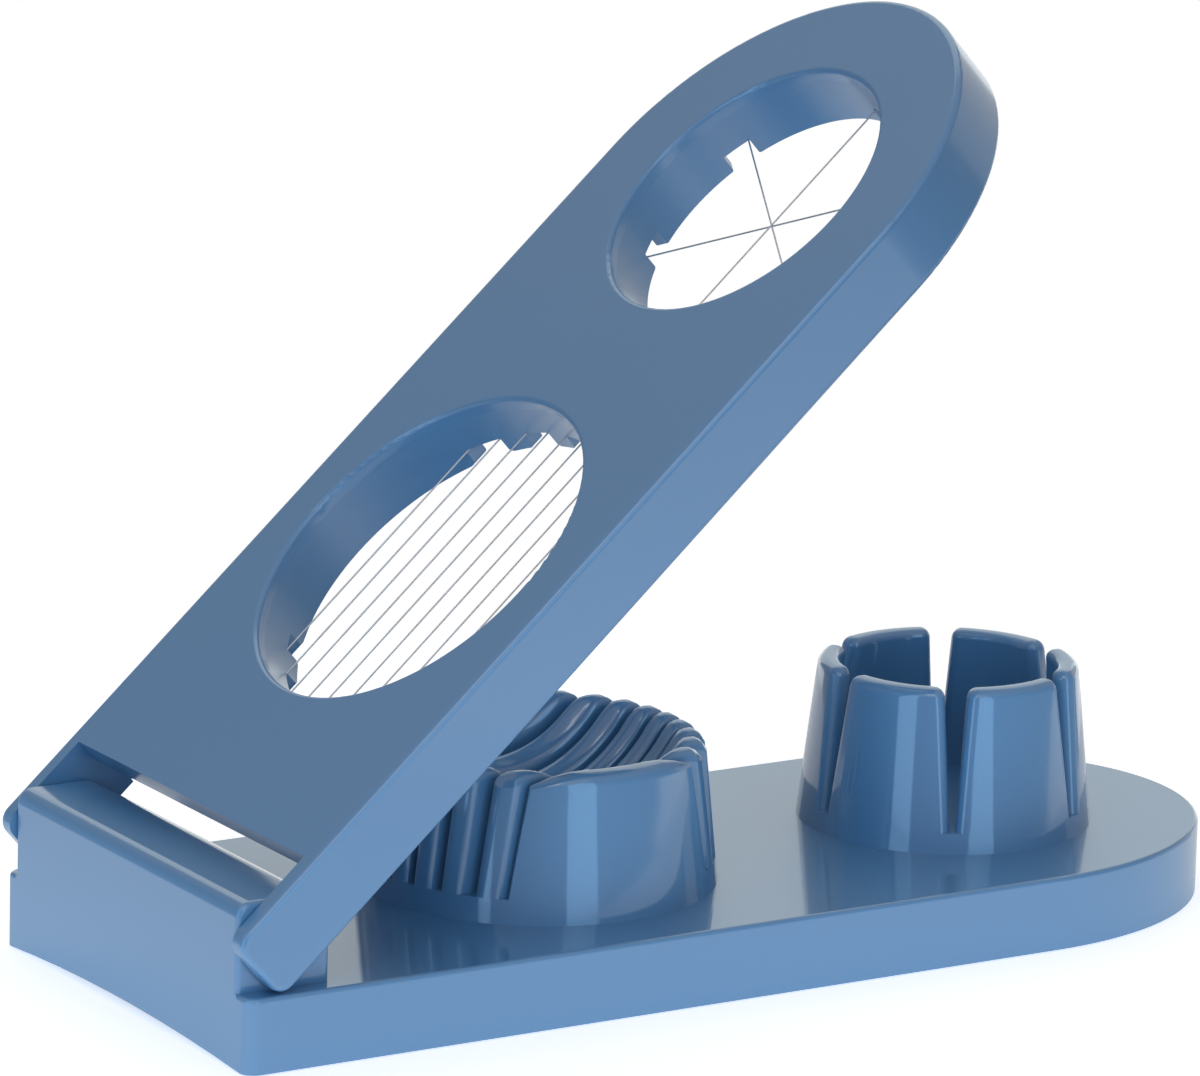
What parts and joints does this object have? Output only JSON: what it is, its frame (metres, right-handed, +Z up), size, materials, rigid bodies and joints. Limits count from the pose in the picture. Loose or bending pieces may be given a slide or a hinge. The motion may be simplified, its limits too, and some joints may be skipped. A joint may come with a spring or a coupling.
{
  "type": "egg slicer",
  "caption": "Hinged kitchen tool: a wired lid closes over a ribbed cradle and a slotted cup on a tray, cutting a boiled egg into slices or wedges.",
  "frame": {"origin": "middle of the base's underside, on the surface that it stands on", "axes": "+X from the hinge end to the round end, +Y across to the far side in the picture, +Z up"},
  "size_m": [0.209, 0.084, 0.1565],
  "materials": {
    "blue_plastic": "gloss",
    "steel_wire": "satin",
    "plated_steel": "gloss"
  },
  "bodies": {
    "base": {"base_tray": "blue_plastic", "hinge_block": "blue_plastic", "hinge_pin": "plated_steel", "slicing_cradle": "blue_plastic", "wedging_cup": "blue_plastic"},
    "lid": {"lid_shell": "blue_plastic", "hinge_cheek_left": "blue_plastic", "hinge_cheek_right": "blue_plastic", "slicing_collar": "blue_plastic", "wedging_collar": "blue_plastic", "slicing_wire": "steel_wire", "wedging_wire": "steel_wire", "wire_screws": "plated_steel"}
  },
  "joints": [
    {"name": "lid_hinge", "type": "hinge", "parent": "base", "child": "lid", "pos_m": [-0.0978, 0, 0.0178], "axis": [0, -1, 0], "range_deg": [-41.75, 59]}
  ]
}
